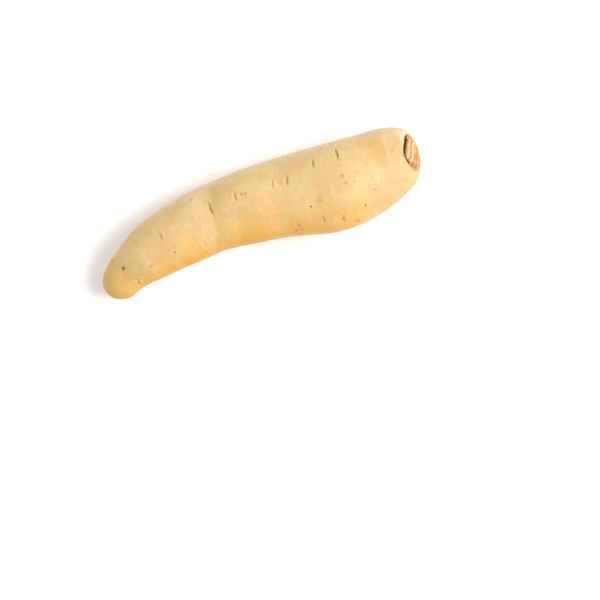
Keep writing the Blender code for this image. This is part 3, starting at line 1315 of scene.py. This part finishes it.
@dataclass(frozen=True)
class Specks:
    """Scattered specks, about one in each cell, whose size is in mm. They fade from their middle outwards."""

    cell: Triple
    fade: Fade

    def read(self, place: Signal) -> Signal:
        """The specks at a place in metres."""
        inputs = {"Vector": place.over(self.cell), "Scale": 1.0, "Randomness": 1.0}
        return place.graph.add("ShaderNodeTexVoronoi", {}, inputs, "Distance").fade(self.fade)


@dataclass(frozen=True)
class SkinFinish:
    """The thin pale skin: cream and peach clouds, faint streaks round the root, and fine tan flecks.

    A share is how much of a colour covers what is under it. Relief is in mm.
    """

    cream: Colour = paint(209, 183, 125)
    peach: Colour = paint(209, 171, 119)
    # pale: paler skin, and a painted highlight on the folds
    pale: Colour = paint(220, 189, 144)
    # darker tan on the crown: painted shade where the key light falls
    crown: Colour = paint(202, 164, 120)
    # green-tan: painted shade in the hollows, the skin's own tone elsewhere
    olive_and_shade: Colour = paint(199, 166, 98)
    # golden: the skin's own colour and painted warm shade on the lower side
    gold_and_warm_shade: Colour = paint(229, 172, 60)
    # deep orange-brown: painted shade at the lower edge, with some of the skin's own deeper tone
    ochre_and_shade: Colour = paint(202, 136, 40)
    # pinkish grey: a painted sheen where the light glances off the +Y edge
    painted_sheen: Colour = paint(211, 188, 156)
    fleck: Colour = paint(178, 132, 76)
    clouds: Pattern = Pattern((12, 12, 15), fade=Fade(0.40, 0.60))
    cloud_share: float = 0.80
    crown_share: float = 0.75
    gold_share: float = 0.82
    gold_cloud_share: float = 0.16
    gold_edge_share: float = 0.5
    ochre_share: float = 0.46
    ochre_power: float = 3.0
    hollows: Pattern = Pattern((6, 6, 8), 2.0, 0.6, Fade(0.52, 0.70, 0.20))
    olive_share: float = 0.80
    patch_share: float = 0.75
    sheen_share: float = 0.74
    streaks: Pattern = Pattern((5.0, 5.0, 1.1), 3.0, 0.6)
    light_streaks: Fade = Fade(0.54, 0.76)
    light_streak_share: float = 0.26
    light_streak_loss: float = 0.16
    dark_streaks: Fade = Fade(0.44, 0.28, 0.24)
    mottle: Pattern = Pattern((2.6, 2.6, 2.2), 3.0, 0.6)
    mottle_edge: float = 0.9
    dark_mottle: Fade = Fade(0.46, 0.30, 0.20)
    flecks: Specks = Specks((1.7, 1.7, 1.3), Fade(0.26, 0.10, 0.34))
    flecked: Pattern = Pattern((6, 6, 6), 1.0, fade=Fade(0.50, 0.62))
    wax: Pattern = Pattern((3.5, 3.5, 2.0), 3.0)
    roughness_low: float = 0.46
    roughness_span: float = 0.20
    creases: Pattern = Pattern((6.0, 6.0, 0.9))
    crease_relief: Fade = Fade(0.0, 0.06, 0.018)
    pores: Specks = Specks((0.9, 0.9, 0.7), Fade(0.05, 0.35, 0.006))
    grit: Pattern = Pattern((0.7, 0.7, 0.5), 3.0, 0.6)
    grit_relief: float = 0.035

    def colour(self, graph: Graph, grain: Signal) -> Signal:
        """Paints the skin.

        Args:
            graph: The material.
            grain: The place on the straightened root.

        Returns:
            The colour.
        """
        crown, hollow, golden = graph.attribute("zone").parts()
        painted_sheen, patch, light = graph.attribute("tint").parts()
        clouds, streaks, mottle = self.clouds.read(grain), self.streaks.read(grain), self.mottle.read(grain)
        edges = (mottle - 0.5) * self.mottle_edge
        gold_and_warm_shade = self.gold_share + clouds * self.gold_cloud_share + edges * self.gold_edge_share
        olive_and_shade = hollow * (self.olive_share + edges) + self.hollows.read(grain)
        thin = self.light_streak_share - golden * self.light_streak_loss
        return graph.lay(
            self.cream,
            (clouds * self.cloud_share, self.peach),
            # painted shade on the crown
            (crown * self.crown_share, self.crown),
            # golden underside: skin colour and painted warm shade
            (golden * gold_and_warm_shade, self.gold_and_warm_shade),
            # deeper at the lower edge: painted shade
            (golden**self.ochre_power * self.ochre_share, self.ochre_and_shade),
            # green-tan: painted shade in the hollows
            (olive_and_shade, self.olive_and_shade),
            (patch * (self.patch_share + edges), self.peach),
            # painted sheen on the +Y edge
            (painted_sheen * (self.sheen_share + edges), self.painted_sheen),
            # pale streaks, a painted highlight on the folds
            (light * (self.patch_share + edges), self.pale),
            (streaks.fade(self.light_streaks) * thin, self.pale),
            (streaks.fade(self.dark_streaks), self.fleck),
            (mottle.fade(self.dark_mottle), self.fleck),
            (self.flecks.read(grain) * self.flecked.read(grain), self.fleck),
        )

    def roughness(self, grain: Signal) -> Signal:
        """How rough the skin is."""
        return self.roughness_low + self.roughness_span * self.wax.read(grain)

    def height(self, grain: Signal) -> Signal:
        """The finest relief of the skin, in mm."""
        creases = abs(self.creases.read(grain) - 0.5).fade(self.crease_relief)
        return creases + self.pores.read(grain) + self.grit.read(grain) * self.grit_relief


@dataclass(frozen=True)
class MarkFinish:
    """The corky slits and the rootlet dots. Places beside a mark are shares of its own size."""

    cork: Colour = paint(196, 150, 90)
    slit: Colour = paint(170, 118, 58)
    halo: Colour = paint(232, 208, 158)
    hues: tuple[tuple[Hue, Colour], ...] = (
        (Hue.DARK, paint(136, 94, 40)),
        (Hue.TAN, paint(190, 138, 88)),
        (Hue.RUST, paint(186, 116, 44)),
        (Hue.ORANGE, paint(212, 144, 44)),
        (Hue.LIGHT, paint(236, 212, 164)),
    )
    ragged: Pattern = Pattern((0.8, 0.8, 0.6), 3.0, 0.65)
    slit_fray: float = 2.2
    slit_edge: Fade = Fade(1.20, 0.30)
    cork_narrowing: float = 0.34
    cork_share: float = 0.75
    core_taper: float = 1.4
    core_low: float = 0.30
    core_span: float = 1.1
    core_share: float = 1.1
    dot_fray: float = 2.0
    dot_edge: Fade = Fade(1.15, 0.30)
    halo_inside: Fade = Fade(0.75, 1.05)
    halo_outside: Fade = Fade(1.75, 1.15)

    def paint(self, graph: Graph, grain: Signal, colour: Signal) -> tuple[Signal, Signal]:
        """Paints the dots, and the slits over them.

        Args:
            graph: The material.
            grain: The place on the straightened root.
            colour: The colour under the marks.

        Returns:
            The colour, and how much of each place is cork.
        """
        ragged, kind = self.ragged.read(grain), graph.attribute("dot_kind")
        ahead, aside, stain = graph.attribute("dot").parts()
        away = (ahead**2.0 + aside**2.0) ** 0.5 + (ragged - 0.5) * self.dot_fray
        dot = away.fade(self.dot_edge) * stain
        ring = away.fade(self.halo_inside) * away.fade(self.halo_outside) * kind.part("Y")
        middle = graph.ramp(kind.part("X"), [(hue.value, tone) for hue, tone in self.hues])
        ahead, aside, stain = graph.attribute("slit").parts()
        across, ends = abs(ahead) + (ragged - 0.5) * self.slit_fray, aside**2.0
        cork = (across * self.cork_narrowing + ends).fade(self.slit_edge) * stain
        core = (across + ends * self.core_taper).fade(self.slit_edge) * stain
        core = core * (self.core_low + ragged * self.core_span) * self.core_share
        layers = ((ring, self.halo), (dot, middle), (cork * self.cork_share, self.cork), (core, self.slit))
        return graph.lay(colour, *layers), cork


@dataclass(frozen=True)
class Blot:
    """A ragged spot on the scar, in mm: its place across and along the ridges, its edge and its fraying."""

    across: float
    along: float
    edge: Fade
    fray: float

    def cover(self, scar: Signal, fray: Signal) -> Signal:
        """How much of each place the spot covers."""
        away = ((scar.part("X") - self.across) ** 2.0 + (scar.part("Y") - self.along) ** 2.0) ** 0.5
        return (away + fray * self.fray).fade(self.edge)


@dataclass(frozen=True)
class ScarFinish:
    """The torn flesh at the crown: pinkish tan, with a cream ridge, rusty patches and a dark crevice, part
    brown stain and part painted shade.

    The bands run across the ridges, and their places, the frays and the depths are in mm.
    """

    flesh: Colour = paint(216, 170, 124)
    ridge: Colour = paint(224, 190, 146)
    line: Colour = paint(156, 104, 62)
    straw: Colour = paint(200, 166, 100)
    rust: Colour = paint(190, 122, 54)
    spot: Colour = paint(132, 80, 34)
    # dark brown in the crevice: part stain, part painted shade of its depth
    crack_stain_and_shade: Colour = paint(96, 56, 22)
    reach: float = 9.0
    fray: Pattern = Pattern((1.0, 4.2, 2.0), 3.0, 0.6)
    band_fray: float = 1.8
    wander: Pattern = Pattern((6.0, 3.4, 4.0))
    band_wander: float = 2.2
    rust_blot: Blot = Blot(3.2, -1.2, Fade(2.6, 0.6, 0.85), 3.5)
    crest_spot: Blot = Blot(1.9, -6.2, Fade(1.5, 0.4, 0.90), 2.0)
    edge_spot: Blot = Blot(5.6, -5.0, Fade(1.6, 0.4, 0.60), 2.0)
    fibres: Pattern = Pattern((0.4, 3.0, 1.0), 2.0, 0.6)
    dark_fibres: Fade = Fade(0.56, 0.34, 0.60)
    light_fibres: Fade = Fade(0.56, 0.72, 0.30)
    specks: Specks = Specks((1.1, 1.6, 1.1), Fade(0.30, 0.12, 0.35))
    dry_rim: Fade = Fade(1.10, 0.35, 0.55)
    dry_fray: float = 2.6
    crack_edge: Fade = Fade(0.70, 1.40)
    crack_fray: float = 0.7
    strands: Pattern = Pattern((0.35, 2.8, 0.8), 3.0, 0.65)
    strand_relief: float = 0.16

    def bands(self) -> list[Stop]:
        """Sets out the bands.

        Returns:
            The stops of a ramp that reaches as far on either side of the scar's middle.
        """
        dark, flesh, ridge, straw, rust = self.line, self.flesh, self.ridge, self.straw, self.rust
        places = (-6.0, -3.6, -2.2, -1.6, -1.0, 0.1, 1.0, 2.8, 4.2, 5.0, 6.6, 8.2)
        colours = (dark, flesh, flesh, dark, ridge, ridge, straw, straw, rust, flesh, rust, flesh)
        return [(0.5 + 0.5 * place / self.reach, colour) for place, colour in zip(places, colours)]

    def colour(self, graph: Graph, grain: Signal, scar: Signal) -> Signal:
        """Paints the scar.

        Args:
            graph: The material.
            grain: The place across and along the ridges.
            scar: The same in mm, with the distance in from the rim as the third part.

        Returns:
            The colour.
        """
        fray, fibres = self.fray.read(grain) - 0.5, self.fibres.read(grain)
        wander = (self.wander.read(grain) - 0.5) * self.band_wander
        place = (scar.part("X") + fray * self.band_fray + wander) / (2 * self.reach) + 0.5
        dry = scar.part("Z") + fray * self.dry_fray
        cleft = graph.attribute("cleft", "Fac") + fray * self.crack_fray
        return graph.lay(
            graph.ramp(place, self.bands()),
            (self.rust_blot.cover(scar, fray), self.rust),
            (self.crest_spot.cover(scar, fray), self.spot),
            (self.edge_spot.cover(scar, fray), self.spot),
            (fibres.fade(self.dark_fibres), self.line),
            (fibres.fade(self.light_fibres), self.ridge),
            (self.specks.read(grain), self.spot),
            (dry.fade(self.dry_rim), self.line),
            # the crevice painted dark by its depth: brown stain and painted shade
            (cleft.fade(self.crack_edge), self.crack_stain_and_shade),
        )

    def height(self, grain: Signal) -> Signal:
        """The finest fibres of the scar, in mm."""
        return self.strands.read(grain) * self.strand_relief


@dataclass(frozen=True)
class RootFinish:
    """The finish of the whole root: skin, marks and scar in one material. The torn rim's edge is in mm."""

    skin: SkinFinish = field(default_factory=SkinFinish)
    marks: MarkFinish = field(default_factory=MarkFinish)
    scar: ScarFinish = field(default_factory=ScarFinish)
    rim_fray: Pattern = Pattern((1.0, 1.0, 1.0))
    rim_raggedness: float = 0.9
    rim_edge: Fade = Fade(0.15, 0.45)
    cork_roughness: float = 0.2
    torn_roughness: float = 0.82
    subsurface: float = 0.22
    subsurface_radius: Triple = (1.0, 0.55, 0.22)
    subsurface_scale: float = 0.0028
    gloss: float = 0.38

    def material(self) -> bpy.types.Material:
        """Makes the material.

        Returns:
            The material.
        """
        graph = Graph("root_skin_and_scar")
        grain, scar = graph.attribute("grain"), graph.attribute("scar")
        fray = (self.rim_fray.read(grain) - 0.5) * self.rim_raggedness
        torn = (scar.part("Z") + fray).fade(self.rim_edge)
        colour, cork = self.marks.paint(graph, grain, self.skin.colour(graph, grain))
        roughness = self.skin.roughness(grain) + cork * self.cork_roughness
        roughness = roughness * (1 - torn) + torn * self.torn_roughness
        height = self.skin.height(grain) * (1 - torn) + self.scar.height(grain) * torn
        bump = {"Strength": 1.0, "Distance": MM, "Height": height}
        return graph.finish(
            {
                "Base Color": graph.lay(colour, (torn, self.scar.colour(graph, grain, scar))),
                "Roughness": roughness.clamped(),
                "Normal": graph.add("ShaderNodeBump", {}, bump, "Normal"),
                "Subsurface Weight": self.subsurface,
                "Subsurface Radius": self.subsurface_radius,
                "Subsurface Scale": self.subsurface_scale,
                "Specular IOR Level": self.gloss,
            }
        )


@dataclass(frozen=True)
class Light:
    """A soft square light that shines at the middle of the root."""

    name: str
    azimuth: float
    elevation: float
    distance: float
    size: float
    power: float

    def hang(self, middle: Vector) -> None:
        """Hangs the light.

        Args:
            middle: The point that it is turned towards.
        """
        azimuth, elevation = math.radians(self.azimuth), math.radians(self.elevation)
        flat = Vector((math.cos(azimuth), math.sin(azimuth), 0)) * math.cos(elevation)
        towards = flat + Vector((0, 0, math.sin(elevation)))
        bpy.ops.object.light_add(type="AREA", location=middle + self.distance * towards)
        lamp = bpy.context.object
        lamp.name = lamp.data.name = self.name
        lamp.rotation_euler = (-towards).to_track_quat("-Z", "Y").to_euler()
        lamp.data.size = self.size
        lamp.data.energy = self.power


@dataclass
class Studio:
    """The pale floor, the soft lights and the camera."""

    lights: tuple[Light, ...] = (
        Light("key", -22, 48, 1.1, 0.62, 13.4),
        Light("fill", 110, 50, 1.3, 1.2, 5.4),
    )
    floor_size: float = 6.0
    floor_drop: float = 0.0001
    floor_colour: Colour = (0.96, 0.96, 0.965, 1.0)
    floor_shade: Colour = (0.9504, 0.9504, 0.95535, 1.0)
    floor_clouds: Pattern = Pattern((150, 150, 150))
    floor_roughness: float = 0.9
    floor_glow: float = 0.03
    sky: Colour = (1.0, 1.0, 1.0, 1.0)
    sky_strength: float = 0.54
    pixel: float = 0.4916 * MM
    picture_pixels: int = 600
    camera_turn: float = -22.87
    lens: float = 100.0
    sensor: float = 36.0
    aim: Triple = (0.0024, -0.0466, 0.02)

    def add_floor(self) -> None:
        """Lays the pale floor."""
        bpy.ops.object.select_all(action="DESELECT")
        bpy.ops.mesh.primitive_plane_add(size=self.floor_size, location=(0, 0, -self.floor_drop))
        floor = bpy.context.object
        floor.name = floor.data.name = "floor"
        graph = Graph("floor")
        clouds = self.floor_clouds.read(graph.add("ShaderNodeTexCoord", {}, {}, "Object"))
        shader = {
            "Base Color": graph.lay(self.floor_colour, (clouds, self.floor_shade)),
            "Roughness": self.floor_roughness,
            "Emission Color": self.floor_colour,
            "Emission Strength": self.floor_glow,
        }
        floor.data.materials.append(graph.finish(shader))

    def add_sky(self) -> None:
        """Gives the world its pale sky."""
        world = bpy.data.worlds.new("sky")
        world.use_nodes = True
        background = world.node_tree.nodes["Background"]
        background.inputs["Color"].default_value = self.sky
        background.inputs["Strength"].default_value = self.sky_strength
        bpy.context.scene.world = world
        bpy.context.scene.view_settings.view_transform = "Standard"

    def add_camera(self) -> None:
        """Hangs the camera straight over the root, turned as the picture was taken."""
        distance = self.picture_pixels * self.pixel * self.lens / self.sensor
        place = Vector(self.aim) + Vector((0, 0, distance))
        bpy.ops.object.camera_add(location=place, rotation=(0, 0, math.radians(self.camera_turn)))
        camera = bpy.context.object
        camera.name = camera.data.name = "camera"
        camera.data.lens = self.lens
        camera.data.sensor_width = self.sensor
        bpy.context.scene.camera = camera

    def build(self) -> None:
        """Builds the studio."""
        self.add_floor()
        for light in self.lights:
            light.hang(Vector((0, 0, self.aim[2])))
        self.add_sky()
        self.add_camera()


def main() -> None:
    """Builds the root and its studio."""
    logging.basicConfig(level=logging.INFO, format="%(name)s: %(message)s")
    root = Root().build()
    mesh = root.data
    mesh.calc_loop_triangles()
    LOG.info("%s: %d vertices, %d triangles", root.name, len(mesh.vertices), len(mesh.loop_triangles))
    Studio().build()
    LOG.info("studio: floor, lights and camera")


if __name__ == "__main__":
    main()
